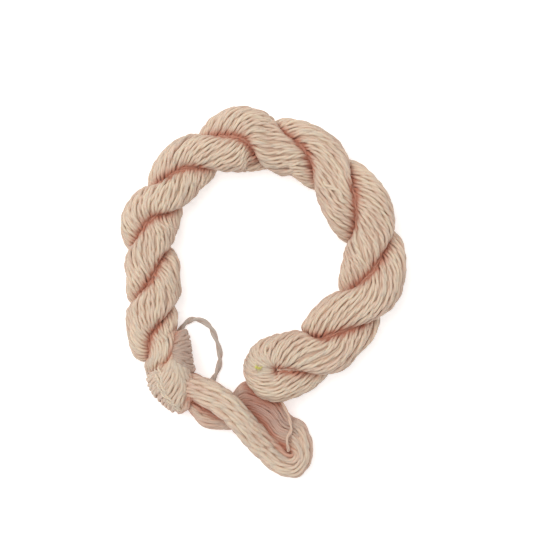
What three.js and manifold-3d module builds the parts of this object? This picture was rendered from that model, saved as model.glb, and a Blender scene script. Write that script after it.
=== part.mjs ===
// A hank of two-ply wool and silk yarn, about 80 by 105 mm, lying on the surface z = 0.
// The skein is twisted, folded back on itself into a rope of two strands, and laid in an open ring.
// One end loop wraps the other as a collar, and the rest of that end lies below it as a loose tail.
// Millimetres, +Z up, seen from above as it was laid down.
import * as THREE from "three";
import Module from "manifold-3d";
import { mergeVertices } from "three/addons/utils/BufferGeometryUtils.js";

const YARN = 1.8;
const YARN_COLOUR = 0xd8bfa6;
const LOOP_COLOUR = 0xbda896;

// The rope lies a little flattened, and its lowest rounds are pressed flat on the surface.
const SQUASH = 0.8;
const SETTLE = 0.5;

// A strand's section: its middle as a share of the rope's reach, how far it overlaps its neighbour's
// flat side, and how square that flat side is.
const STRAND_MIDDLE = 0.46;
const OVERLAP = 0.25;
const FLATNESS = 3;

// The degrees by which a turn of the rope lingers where the strands lie side by side.
const LINGER = 8;

// The fold: the gap at its centre line, and its first rings, which lie inside the second strand at
// this many half turns and at this size.
const FOLD_GAP = 0.15;
const FOLD_TUCK = [
  { halfTurns: 1.07, size: 0.88 },
  { halfTurns: 1, size: 0.985 },
];

// How far the yarns turn back in their strand for each turn of the rope, which keeps them almost
// in line with the rope.
const LAY = 0.8;

const STRAND_SIDES = 16;
const STRAND_STEPS = 4;
const FOLD_STEPS = 10;
const BUNDLE_SIDES = 14;
const BUNDLE_STEPS = 2;
const LOOP_SIDES = 8;
const LOOP_STEPS = 20;

// The rope from its fold to its collar, with a row at each place where the strands lie side by side
// or one above the other. turn is where the first strand lies round the rope, in degrees from the top.
// reach is half the rope's width across both strands, and wide is half a strand's own width.
const ROPE = table(
  ["x", "y", "turn", "reach", "wide"],
  [
    [3.6, -21.6, -270, 9.5, 7.0],
    [14.7, -17.3, -180, 8.8, 6.8],
    [19.9, -11.6, -90, 9.1, 6.9],
    [27.2, -3.4, 0, 9.5, 6.5],
    [30.8, 6.6, 90, 9.2, 6.6],
    [29.9, 15.6, 180, 8.7, 6.7],
    [25.4, 24.8, 270, 9.4, 6.8],
    [18.9, 33.1, 360, 7.8, 6.4],
    [11.2, 39.5, 450, 7.9, 6.6],
    [1.8, 40.9, 540, 7.7, 6.6],
    [-6.4, 42.6, 630, 9.4, 6.5],
    [-15.8, 38.9, 720, 8.0, 5.7],
    [-23.0, 34.1, 810, 7.7, 5.7],
    [-27.7, 26.4, 900, 7.5, 5.6],
    [-31.9, 19.8, 990, 8.2, 5.9],
    [-32.1, 11.9, 1080, 7.6, 5.8],
    [-31.1, 4.2, 1170, 7.7, 6.1],
    [-31.2, -3.8, 1260, 7.5, 6.1],
    [-31.5, -12.1, 1350, 7.0, 5.8],
    [-28.6, -18.0, 1440, 7.2, 4.4],
    [-27.7, -23.1, 1480, 5.4, 4.4],
  ],
);

// A bundle's section is told by its two edges, seen from above, and its lowest and highest points.
const EDGES = ["leftX", "leftY", "rightX", "rightY", "low", "high"];

// The end loop that wraps the rope's end, from its upper corner to its lower tip.
const COLLAR = table(EDGES, [
  [-21.4, -11.2, -25.0, -11.6, 3, 8],
  [-20.7, -12.8, -26.0, -13.2, 2, 9.5],
  [-20.3, -15.5, -26.9, -15.8, 1, 11],
  [-19.9, -18.6, -28.3, -18.9, 0, 12],
  [-19.3, -21.7, -31.6, -22.3, 0, 13],
  [-18.8, -25.3, -33.1, -24.8, 0, 13.4],
  [-18.5, -28.4, -31.5, -28.4, 0, 12.4],
  [-19.6, -31.5, -29.1, -31.2, 0, 10.4],
  [-21.6, -33.5, -26.3, -33.3, 1, 7.6],
  [-23.1, -34.2, -24.6, -34.2, 2.4, 5.4],
]);

// The tail's upper leg, from inside the collar to the turn at its end.
const UPPER_LEG = table(EDGES, [
  [-20.7, -22.3, -23.5, -28.7, 3, 12],
  [-17.1, -23.5, -19.3, -30.9, 4, 13],
  [-12.6, -25.5, -15.1, -33.2, 6, 13.5],
  [-8.4, -28.4, -11.2, -36.0, 6.8, 13.6],
  [-4.8, -32.3, -7.6, -39.9, 6.2, 13.2],
  [-1.4, -36.3, -4.5, -43.8, 3.6, 11.6],
  [2.0, -39.8, -1.1, -47.3, 0.6, 9.8],
  [4.8, -42.4, 2.2, -50.4, 0, 8.8],
  [6.3, -43.7, 5.9, -52.2, 0, 8.4],
  [7.3, -44.2, 9.5, -52.4, 0, 8.2],
  [7.8, -44.2, 12.6, -49.6, 0, 8.2],
]);

// The tail's lower leg, from that turn, under the upper leg and back to the collar.
const LOWER_LEG = table(EDGES, [
  [7.0, -44.1, 9.0, -51.9, 0.4, 7.6],
  [7.0, -44.4, 12.6, -49.6, 0, 8.2],
  [6.4, -44.4, 13.9, -45.2, 0, 8.2],
  [5.3, -44.4, 13.4, -40.9, 0, 8.0],
  [3.4, -43.8, 11.3, -36.7, 0, 7.6],
  [1.1, -42.4, 7.3, -34.7, 0, 7.0],
  [-1.1, -40.2, 3.9, -29.5, 0, 6.4],
  [-3.9, -38.5, -3.0, -26.0, 0, 6],
  [-7.3, -38.8, -6.5, -26.0, 0, 6.4],
  [-11.8, -39.1, -11.2, -32.4, 0, 7.2],
  [-16.2, -38.8, -16.0, -30.9, 0, 8],
  [-19.6, -35.7, -18.8, -29.3, 0, 8.4],
  [-21.8, -32.3, -21.0, -27.6, 1, 8],
]);

// The route of the one loose loop of yarn. It lies on the surface, from under the rope by the collar
// to the lower leg, which it meets under the upper leg.
const LOOSE_LOOP = [
  [-24.4, -12.2, 1.1],
  [-23.8, -11.1, 1.0],
  [-23.0, -10.0, 1.0],
  [-22.0, -8.9, 1.0],
  [-20.0, -7.9, 1.0],
  [-17.3, -8.5, 1.0],
  [-15.2, -10.2, 1.0],
  [-14.0, -12.6, 1.0],
  [-13.0, -15.3, 1.0],
  [-12.5, -18.1, 1.0],
  [-12.7, -20.8, 1.0],
  [-13.5, -23.2, 1.0],
  [-14.5, -25.1, 1.0],
  [-15.1, -26.8, 1.0],
  [-15.4, -28.5, 1.0],
  [-15.6, -30.2, 1.1],
  [-15.7, -31.0, 1.2],
];

const UP = new THREE.Vector3(0, 0, 1);

// Rows of numbers as objects with named columns.
function table(columns, rows) {
  return rows.map((row) => Object.fromEntries(columns.map((name, i) => [name, row[i]])));
}

// Every column of a table at the place t, counted in rows, on a smooth curve through the rows.
function rowAt(rows, t) {
  const last = rows.length - 1;
  const start = Math.min(Math.floor(t), last - 1);
  const f = t - start;
  const near = [-1, 0, 1, 2].map((k) => rows[THREE.MathUtils.clamp(start + k, 0, last)]);
  const between = (name) => {
    const [a, b, c, d] = near.map((row) => row[name]);
    return b + 0.5 * f * (c - a + f * (2 * a - 5 * b + 4 * c - d + f * (3 * (b - c) + d - a)));
  };
  return Object.fromEntries(Object.keys(rows[0]).map((name) => [name, between(name)]));
}

// The places along a table, in rows, with the given number of steps from each row to the next.
function places(rows, steps) {
  const count = (rows.length - 1) * steps;
  return Array.from({ length: count + 1 }, (_, i) => i / steps);
}

// A closed solid through rings of points, each going right-handed round the way the rings run.
function loft(rings) {
  const sides = rings[0].length;
  const count = rings.length;
  const middles = [rings[0], rings[count - 1]].map((ring) =>
    ring.reduce((sum, p) => sum.add(p), new THREE.Vector3()).divideScalar(sides),
  );
  const points = [...rings.flat(), ...middles];
  const faces = [];
  for (let j = 0; j < sides; j++) {
    const next = (j + 1) % sides;
    for (let i = 0; i + 1 < count; i++) {
      const here = i * sides;
      const ahead = here + sides;
      faces.push(here + j, here + next, ahead + next);
      faces.push(here + j, ahead + next, ahead + j);
    }
    const end = (count - 1) * sides;
    faces.push(count * sides, next, j);
    faces.push(count * sides + 1, end + j, end + next);
  }
  const geometry = new THREE.BufferGeometry().setFromPoints(points);
  geometry.setIndex(faces);
  return geometry;
}

// A point of a strand's section: round on its outer side and flattened against the other strand.
function strandPoint(angle, row, gap) {
  const off = row.reach * STRAND_MIDDLE;
  const c = Math.cos(angle);
  const s = Math.sin(angle);
  if (c >= 0) {
    return { out: off + (row.reach - off) * c, side: row.wide * s };
  }
  const square = 2 / FLATNESS;
  return {
    out: off - (off - gap) * Math.abs(c) ** square,
    side: row.wide * Math.sign(s) * Math.abs(s) ** square,
  };
}

// The angles of a section's points, from the given one on.
function angles(sides, first = 0) {
  return Array.from({ length: sides }, (_, j) => first + (j / sides) * 2 * Math.PI);
}

// The angle on a strand's section of the yarn that lay at zero where the strand's turn was zero.
function lay(turn) {
  return -(1 + LAY) * turn;
}

// The rope's centre and its level direction to the right at the place t.
function ropeFrame(t) {
  const row = rowAt(ROPE, t);
  const step = 0.02;
  const last = ROPE.length - 1;
  const from = rowAt(ROPE, Math.max(t - step, 0));
  const to = rowAt(ROPE, Math.min(t + step, last));
  const along = new THREE.Vector3(to.x - from.x, to.y - from.y, 0).normalize();
  const right = new THREE.Vector3().crossVectors(along, UP);
  const centre = new THREE.Vector3(row.x, row.y, SQUASH * row.reach - SETTLE);
  return { row, along, right, centre };
}

// One strand's ring at the place t, turned half a turn from the other strand's.
function strandRing(t, halfTurn) {
  const { row, right, centre } = ropeFrame(t);
  const plain = THREE.MathUtils.degToRad(row.turn);
  const turn = plain + THREE.MathUtils.degToRad(LINGER) * Math.sin(2 * plain) + halfTurn;
  return angles(STRAND_SIDES, lay(plain)).map((angle) => {
    const { out, side } = strandPoint(angle, row, -OVERLAP);
    const rise = out * Math.cos(turn) - side * Math.sin(turn);
    const across = out * Math.sin(turn) + side * Math.cos(turn);
    return centre.clone().addScaledVector(UP, SQUASH * rise).addScaledVector(right, across);
  });
}

// The fold's ring, of the given size, that many half turns round the fold's upright centre line.
function foldRing(halfTurns, size) {
  const { row, along, right, centre } = ropeFrame(0);
  const turned = Math.PI * halfTurns;
  const way = right.clone().multiplyScalar(Math.cos(turned)).addScaledVector(along, -Math.sin(turned));
  const middle = row.reach / 2;
  const first = lay(THREE.MathUtils.degToRad(row.turn));
  return angles(STRAND_SIDES, first).map((angle) => {
    const { out, side } = strandPoint(angle, row, FOLD_GAP);
    return centre
      .clone()
      .addScaledVector(way, middle + (out - middle) * size)
      .addScaledVector(UP, -SQUASH * side * size);
  });
}

// The first strand with the fold before it.
function foldedStrand() {
  const rings = FOLD_TUCK.map(({ halfTurns, size }) => foldRing(halfTurns, size));
  for (let i = FOLD_STEPS - 1; i >= 0; i--) {
    rings.push(foldRing(i / FOLD_STEPS, 1));
  }
  const strand = places(ROPE, STRAND_STEPS).slice(1);
  return loft([...rings, ...strand.map((t) => strandRing(t, 0))]);
}

// The second strand, half a turn round the rope from the first.
function plainStrand() {
  return loft(places(ROPE, STRAND_STEPS).map((t) => strandRing(t, Math.PI)));
}

// A loose bundle of yarns through the edges of a table, oval in section.
function bundle(rows) {
  const rings = places(rows, BUNDLE_STEPS).map((t) => {
    const row = rowAt(rows, t);
    const left = new THREE.Vector3(row.leftX, row.leftY, (row.low + row.high) / 2);
    const right = new THREE.Vector3(row.rightX, row.rightY, left.z);
    const middle = left.clone().lerp(right, 0.5);
    const half = right.clone().sub(left).multiplyScalar(0.5);
    const height = (row.high - row.low) / 2;
    return angles(BUNDLE_SIDES).map((angle) =>
      middle
        .clone()
        .addScaledVector(half, Math.sin(angle))
        .addScaledVector(UP, height * Math.cos(angle)),
    );
  });
  return loft(rings);
}

// The loose loop: one yarn as a round tube along its route.
function looseLoop() {
  const section = new THREE.Shape();
  section.absarc(0, 0, YARN / 2, 0, 2 * Math.PI);
  const route = new THREE.CatmullRomCurve3(LOOSE_LOOP.map((p) => new THREE.Vector3(...p)));
  return new THREE.ExtrudeGeometry(section, {
    steps: LOOP_STEPS,
    curveSegments: LOOP_SIDES / 2,
    extrudePath: route,
  });
}

const wasm = await Module();
wasm.setup();

// A closed geometry as a solid that can be joined and cut.
function solidOf(geometry) {
  const mesh = new wasm.Mesh({
    numProp: 3,
    vertProperties: new Float32Array(geometry.getAttribute("position").array),
    triVerts: new Uint32Array(geometry.index.array),
  });
  return new wasm.Manifold(mesh);
}

// A joined solid as a geometry again.
function geometryOf(solid) {
  const { vertProperties, triVerts } = solid.getMesh();
  const geometry = new THREE.BufferGeometry();
  geometry.setAttribute("position", new THREE.BufferAttribute(vertProperties, 3));
  geometry.setIndex(new THREE.BufferAttribute(triVerts, 1));
  geometry.computeVertexNormals();
  return geometry;
}

// The whole wound form, cut level with the surface that it rests on.
function hank() {
  const above = new THREE.BoxGeometry(200, 200, 60).translate(0, 0, 30);
  above.deleteAttribute("normal");
  above.deleteAttribute("uv");
  const parts = [plainStrand(), bundle(COLLAR), bundle(UPPER_LEG), bundle(LOWER_LEG)];
  const joined = parts.reduce((solid, part) => solid.add(solidOf(part)), solidOf(foldedStrand()));
  return geometryOf(joined.intersect(solidOf(mergeVertices(above))));
}

function mesh(name, geometry, colour) {
  const material = new THREE.MeshStandardMaterial({ color: colour, roughness: 0.85, metalness: 0 });
  const made = new THREE.Mesh(geometry, material);
  made.name = name;
  return made;
}

const group = new THREE.Group();
group.add(mesh("hank", hank(), YARN_COLOUR));
group.add(mesh("loose_loop", looseLoop(), LOOP_COLOUR));

export default group;
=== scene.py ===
"""A hank of two-ply wool and silk yarn, laid down as an open ring, seen from above."""

import logging
import math
from dataclasses import dataclass, field
from enum import Enum, IntEnum
from typing import Callable

import bpy
import numpy as np
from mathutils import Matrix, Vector


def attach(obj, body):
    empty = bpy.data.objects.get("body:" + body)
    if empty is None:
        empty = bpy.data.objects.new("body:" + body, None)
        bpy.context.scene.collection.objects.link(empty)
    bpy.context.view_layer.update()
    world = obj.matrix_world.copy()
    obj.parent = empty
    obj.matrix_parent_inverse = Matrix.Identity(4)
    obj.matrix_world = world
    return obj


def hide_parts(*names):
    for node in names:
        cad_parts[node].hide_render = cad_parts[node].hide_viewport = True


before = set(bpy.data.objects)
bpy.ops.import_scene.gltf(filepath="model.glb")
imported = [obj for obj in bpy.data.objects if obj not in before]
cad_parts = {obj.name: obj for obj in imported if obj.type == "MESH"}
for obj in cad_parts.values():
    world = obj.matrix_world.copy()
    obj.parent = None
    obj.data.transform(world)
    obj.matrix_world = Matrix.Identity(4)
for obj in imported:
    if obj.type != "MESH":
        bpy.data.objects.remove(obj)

LOG = logging.getLogger("hank")
MM = 0.001
UP = np.array([0.0, 0.0, 1.0])
FILL_DEPTHS = np.arange(0.3, 6.5, 0.6)
FILL_SIDES = 72
# The most painted greyer shade that a turn facing the side or the ground gets.
MOST_FACING_SHADE = 0.55


class First(IntEnum):
    """The number of the first yarn of each kind, by which the finish tells yarns apart."""

    STRAY = 60
    GROOVES = 70
    WRAPS = 100
    CROSS = 120
    FAN = 140
    BORDER = 160
    TAIL = 200
    FINE = 230
    THIN = 260
    UNDER_ROPE = 500
    UNDER_COLLAR = 600
    UNDER_TAIL = 700
    LOOSE_LOOP = 900
    FIBRES = 950


@dataclass
class Rows:
    """A table of numbers with named columns, read on a smooth curve through its rows.

    Attributes:
        columns: the names of the columns, split by spaces.
        values: one row of numbers a line.
    """

    columns: str
    values: list

    def __post_init__(self) -> None:
        """Turns the rows into one array."""
        self.names = self.columns.split()
        self.array = np.array(self.values, float)

    @property
    def last(self) -> int:
        """The place of the last row."""
        return len(self.array) - 1

    def at(self, places: np.ndarray) -> dict:
        """Every column at the given places, counted in rows.

        A place between two rows takes the Catmull-Rom cubic through the four rows near it, with
        the end rows used twice.

        Args:
            places: places along the table, any shape.
        Returns:
            An array for each column, in the shape of places.
        """
        t = np.asarray(places, float)
        start = np.clip(np.floor(t).astype(int), 0, self.last - 1)
        f = t - start
        near = [self.array[np.clip(start + k, 0, self.last)] for k in (-1, 0, 1, 2)]
        a, b, c, d = near
        f = f[..., None]
        cubic = 2 * a - 5 * b + 4 * c - d + f * (3 * (b - c) + d - a)
        found = b + 0.5 * f * (c - a + f * cubic)
        return {name: found[..., i] for i, name in enumerate(self.names)}

    def line(self) -> np.ndarray:
        """A smooth line through the table's x, y and z, eight steps a row."""
        row = self.at(np.linspace(0, self.last, 8 * self.last + 1))
        return np.stack([row["x"], row["y"], row["z"]], axis=-1)


def unit(vectors: np.ndarray) -> np.ndarray:
    """The vectors with length one."""
    return vectors / np.maximum(np.linalg.norm(vectors, axis=-1, keepdims=True), 1e-12)


def facing_shade(outward: np.ndarray) -> np.ndarray:
    """How much painted greyer shade a turn gets, by how far it faces the side or the ground.

    It rises evenly from none, where the upright part of the way out is 0.68, to MOST_FACING_SHADE, where
    it is 0.12 downwards.

    Args:
        outward: the way out at each point.
    Returns:
        A number for each point.
    """
    return MOST_FACING_SHADE * np.clip(0.85 - 1.25 * outward[..., 2], 0, 1)


def wander(rng: np.random.Generator, count: int, along: np.ndarray, wave: float) -> np.ndarray:
    """A smooth random drift along each of several yarns, between about -1 and 1.

    Each yarn's drift is a sum of four sines of random phase, whose waves are near the given length.

    Args:
        rng: the random numbers.
        count: the number of yarns.
        along: the distance along a yarn at each step.
        wave: the usual length of a wave, in the units of along.
    Returns:
        An array of count rows, one column a step.
    """
    waves = wave * rng.uniform(0.6, 1.8, (count, 4, 1))
    phases = rng.uniform(0, 2 * np.pi, (count, 4, 1))
    return np.sin(2 * np.pi * along / waves + phases).sum(axis=1) / 2


@dataclass
class Bulk:
    """How full the space in and round the hank is, on a grid of cubes, which tells where shade is painted
    in hollows.

    Attributes:
        low: the grid's lowest corner in millimetres.
        cell: side of a cube in millimetres.
        shape: number of cubes each way.
        spread: number of cubes on each side that one is averaged with.
        bare: fullness just outside an open surface.
        snug: fullness beyond that at which a place counts as deep in a hollow.
        core: factor by which the middle of what was filled counts as wholly near.
    """

    low: tuple = (-46.0, -58.0, -6.0)
    cell: float = 0.6
    shape: tuple = (152, 192, 44)
    spread: int = 3
    bare: float = 0.2
    snug: float = 0.4
    core: float = 1.15

    def __post_init__(self) -> None:
        """Starts with empty space."""
        self.full = np.zeros(self.shape)

    def cubes(self, points: np.ndarray) -> tuple:
        """The numbers of the cubes that hold the points."""
        return tuple(np.moveaxis(np.floor((points - self.low) / self.cell).astype(int), -1, 0))

    def fill(self, points: np.ndarray) -> None:
        """Marks the cubes that hold the points as full."""
        self.full[self.cubes(points)] = 1.0

    def average(self) -> None:
        """Averages each cube with its neighbours, twice each way, which gives a round spread."""
        width = 2 * self.spread + 1
        for axis in (0, 1, 2, 0, 1, 2):
            moved = [np.roll(self.full, k - self.spread, axis) for k in range(width)]
            self.full = sum(moved) / width

    def hollow(self, points: np.ndarray, outward: np.ndarray, away: float = 2.1) -> np.ndarray:
        """How deep in a hollow each point lies, from 0 to 1.

        It is the fullness of the space a little way out from the point, less that of an open
        surface.

        Args:
            points: one point a row.
            outward: the way out at each point.
            away: how far out the fullness is read.
        Returns:
            A number for each point.
        """
        found = self.full[self.cubes(points + away * outward)]
        return np.clip((found - self.bare) / self.snug, 0, 1)

    def near(self, points: np.ndarray) -> np.ndarray:
        """How near each point is to the middle of what was filled, from 0 to 1."""
        return np.clip(self.core * self.full[self.cubes(points)] / self.full.max(), 0, 1)


@dataclass
class Surface:
    """Points and faces of a piece, gathered before they go into one mesh.

    Attributes:
        name: the piece's name.
        points: arrays of points, one a row.
        faces: arrays of corner numbers, one face a row.
        maps: for each array of faces, the map place of each corner.
        shades: lists of numbers for the points, by name.
        count: number of points so far.
    """

    name: str
    points: list = field(default_factory=list)
    faces: list = field(default_factory=list)
    maps: list = field(default_factory=list)
    shades: dict = field(default_factory=dict)
    count: int = 0

    def add(self, points: np.ndarray, faces: list, maps: list, shades: dict) -> None:
        """Adds points and faces that are numbered from zero.

        Args:
            points: one point a row.
            faces: arrays of corner numbers, one face a row, each array with its own corner count.
            maps: for each array of faces, the map place of each corner.
            shades: a number for each point, by name.
        """
        self.points.append(points)
        self.faces += [array + self.count for array in faces]
        self.maps += maps
        for name, values in shades.items():
            self.shades.setdefault(name, []).append(values)
        self.count += len(points)

    def piece(self) -> bpy.types.Object:
        """The mesh object of everything that was added, with its map and its numbers."""
        mesh = bpy.data.meshes.new(self.name)
        mesh.vertices.add(self.count)
        mesh.vertices.foreach_set("co", (np.concatenate(self.points) * MM).ravel())
        corners = np.concatenate([array.ravel() for array in self.faces])
        sizes = np.concatenate([np.full(len(array), array.shape[1]) for array in self.faces])
        starts = np.concatenate([[0], np.cumsum(sizes)[:-1]])
        mesh.loops.add(len(corners))
        mesh.loops.foreach_set("vertex_index", corners.astype(np.int32))
        mesh.polygons.add(len(sizes))
        mesh.polygons.foreach_set("loop_start", starts.astype(np.int32))
        mesh.polygons.foreach_set("loop_total", sizes.astype(np.int32))
        mesh.polygons.foreach_set("use_smooth", np.ones(len(sizes), bool))
        layer = mesh.uv_layers.new(name="along_and_round")
        flat = np.concatenate([array.reshape(-1, 2) for array in self.maps])
        layer.data.foreach_set("uv", flat.astype(np.float32).ravel())
        for name, values in self.shades.items():
            shade = mesh.attributes.new(name, "FLOAT", "POINT")
            shade.data.foreach_set("value", np.concatenate(values).astype(np.float32).ravel())
        mesh.update()
        mesh.validate()
        made = bpy.data.objects.new(self.name, mesh)
        bpy.context.scene.collection.objects.link(made)
        return made


def grid_faces(rows: int, sides: int) -> np.ndarray:
    """The four corners of each face of a closed tube whose points are numbered ring by ring.

    Args:
        rows: number of rings.
        sides: number of points in a ring.
    Returns:
        One face a row.
    """
    ring = np.arange(sides)
    first = (np.arange(rows - 1) * sides)[:, None]
    here, there = first + ring, first + (ring + 1) % sides
    return np.stack([here, there, there + sides, here + sides], axis=-1).reshape(-1, 4)


def grid_map(along: np.ndarray, round_: np.ndarray) -> np.ndarray:
    """The map places of a tube's faces.

    Args:
        along: the first map number of each ring.
        round_: the second map number at each corner of a ring, its first corner repeated at the end.
    Returns:
        A place for each corner of each face.
    """
    u0, u1 = along[:-1, None], along[1:, None]
    v0, v1 = round_[None, :-1], round_[None, 1:]
    sides = [(u0, v0), (u0, v1), (u1, v1), (u1, v0)]
    both = [np.stack(np.broadcast_arrays(u, v), axis=-1) for u, v in sides]
    return np.stack(both, axis=-2).reshape(-1, 4, 2)


def add_tube(surface: Surface, rings: np.ndarray, along: np.ndarray, round_: np.ndarray,
             shades: dict) -> None:
    """Adds a closed tube through rings of points, with a fan over each end.

    Args:
        surface: where the tube goes.
        rings: ring, corner and coordinate, each ring right-handed about the way the rings run.
        along: the first map number of each ring.
        round_: the second map number at each corner, the first corner repeated.
        shades: a number for each ring and corner, by name.
    """
    rows, sides = rings.shape[:2]
    ends = rings[[0, -1]].mean(axis=1)
    points = np.concatenate([rings.reshape(-1, 3), ends])
    ring = np.arange(sides)
    after = (ring + 1) % sides
    base = (rows - 1) * sides
    tip, tail = rows * sides, rows * sides + 1
    start = np.stack([np.full(sides, tip), after, ring], axis=-1)
    end = np.stack([np.full(sides, tail), base + ring, base + after], axis=-1)
    flat = np.zeros((sides, 3, 2))
    flat[..., 1] = np.stack([round_[:-1], round_[1:], round_[:-1]], axis=-1)
    start_map, end_map = flat.copy(), flat.copy()
    start_map[..., 0], end_map[..., 0] = along[0], along[-1]
    packed = {k: np.concatenate([v.ravel(), v[[0, -1]].mean(axis=1)]) for k, v in shades.items()}
    surface.add(points, [grid_faces(rows, sides), start, end],
                [grid_map(along, round_), start_map, end_map], packed)


@dataclass(frozen=True)
class Yarn:
    """Two-ply yarn. Lengths are in millimetres.

    Attributes:
        ply: radius of one ply.
        apart: distance of a ply's middle from the yarn's middle.
        half_pitch: length of yarn in which the two plies change places.
        sides: corners of a section.
        squeeze: the yarn's breadth sideways as a share of its height.
        sway: how far the twist drifts, in radians.
        sway_wave: usual length of that drift's waves.
        lowest: height of its lowest point above the surface.
    """

    ply: float = 0.47
    apart: float = 0.27
    half_pitch: float = 4.6
    sides: int = 12
    squeeze: float = 0.88
    sway: float = 0.5
    sway_wave: float = 9.0
    lowest: float = 0.02

    def section(self) -> tuple:
        """The angle and the radius of each corner of the section, two circles run together.

        A corner at the angle v from the line through both plies lies at
        apart times the cosine of v, plus the root of ply squared less the square of apart times
        the sine of v.
        """
        angle = np.arange(self.sides) / self.sides * 2 * np.pi
        off = self.apart * np.sin(angle)
        return angle, self.apart * np.abs(np.cos(angle)) + np.sqrt(self.ply**2 - off**2)

    def lay(self, surface: Surface, centres: np.ndarray, outward: np.ndarray, shade: np.ndarray,
            rng: np.random.Generator, first: int = 0, size: np.ndarray | float = 1.0,
            rosy: np.ndarray | float = 0.0, side_shade: float = 0.0) -> None:
        """Adds yarns that follow the given lines.

        The section turns steadily against the yarn's length, which gives the two plies their twist.
        Its corners go along with the plies.

        Args:
            surface: where the yarns go.
            centres: yarn, step and coordinate.
            outward: the way out of the bundle at each step, the same shape.
            shade: how deep each step lies in a hollow, from 0 to 1, which steers the warm painted shade of
                hollows.
            rng: the random numbers.
            first: the number of the first yarn, which the finish tells yarns apart by.
            size: share of the full thickness at each step.
            rosy: how far each step takes a pinkish painted shade, from 0 to 1.
            side_shade: how far all of it takes the painted greyer shade of turns that face the side, from 0
                to 1.
        """
        count, steps = centres.shape[:2]
        tangent = unit(np.gradient(centres, axis=1))
        normal = unit(outward - (outward * tangent).sum(-1, keepdims=True) * tangent)
        side = np.cross(tangent, normal)
        step = np.linalg.norm(np.diff(centres, axis=1), axis=-1)
        along = np.concatenate([np.zeros((count, 1)), np.cumsum(step, axis=1)], axis=1)
        drift = self.sway * wander(rng, count, along.mean(axis=0), self.sway_wave)
        psi = -np.pi * along / self.half_pitch + rng.uniform(0, 2 * np.pi, (count, 1)) + drift
        angle, radius = self.section()
        whole = psi[..., None] + angle
        size = np.broadcast_to(np.asarray(size, float), (count, steps))
        reach = radius * size[..., None]
        out = (reach * np.cos(whole))[..., None]
        across = (self.squeeze * reach * np.sin(whole))[..., None]
        rings = centres[:, :, None] + out * normal[:, :, None] + across * side[:, :, None]
        rings[..., 2] = np.maximum(rings[..., 2], self.lowest)
        # How far a corner lies on the yarn's lower side, which the finish darkens with painted shade.
        inward = 0.5 - 0.5 * np.cos(whole)
        round_ = np.arange(self.sides + 1) / self.sides
        spread = np.ones_like(inward)
        deep = shade[..., None] * spread
        rose_shade = np.broadcast_to(rosy, (count, steps))[..., None] * spread
        # A painted greyer shade on turns that face the side or the ground.
        edge = np.maximum(facing_shade(outward), side_shade)[..., None] * spread
        for i in range(count):
            add_tube(surface, rings[i], along[i], round_ + first + i,
                     {"inward": inward[i], "hollow": deep[i], "rosy": rose_shade[i], "edge": edge[i]})


def trace(surface: Callable, controls: list, depth: float, step: float = 0.5) -> tuple:
    """A yarn's line over a surface, in even steps.

    Args:
        surface: gives points from places, angles in radians and a depth.
        controls: the line's own table of place, angle in degrees, and how far it sinks below depth.
        depth: depth of the yarn's middle.
        step: length of a step in millimetres.
    Returns:
        The line, the way out at each step, and the place of each step.
    """
    table = Rows("place angle sink", controls)
    fine = np.linspace(0, table.last, 60 * table.last)
    row = table.at(fine)
    line = surface(row["place"], np.radians(row["angle"]), depth + row["sink"])
    length = np.concatenate([[0], np.cumsum(np.linalg.norm(np.diff(line, axis=0), axis=-1))])
    row = table.at(np.interp(np.arange(0, length[-1], step), length, fine))
    place, angle, inset = row["place"], np.radians(row["angle"]), depth + row["sink"]
    outward = unit(surface(place, angle, inset - 0.5) - surface(place, angle, inset + 0.5))
    return surface(place, angle, inset), outward, place


class Strand(Enum):
    """The rope's two strands, each with its column of lay and its half turn round the rope."""

    FIRST = ("first_lay", 0.0)
    SECOND = ("second_lay", math.pi)


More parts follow.
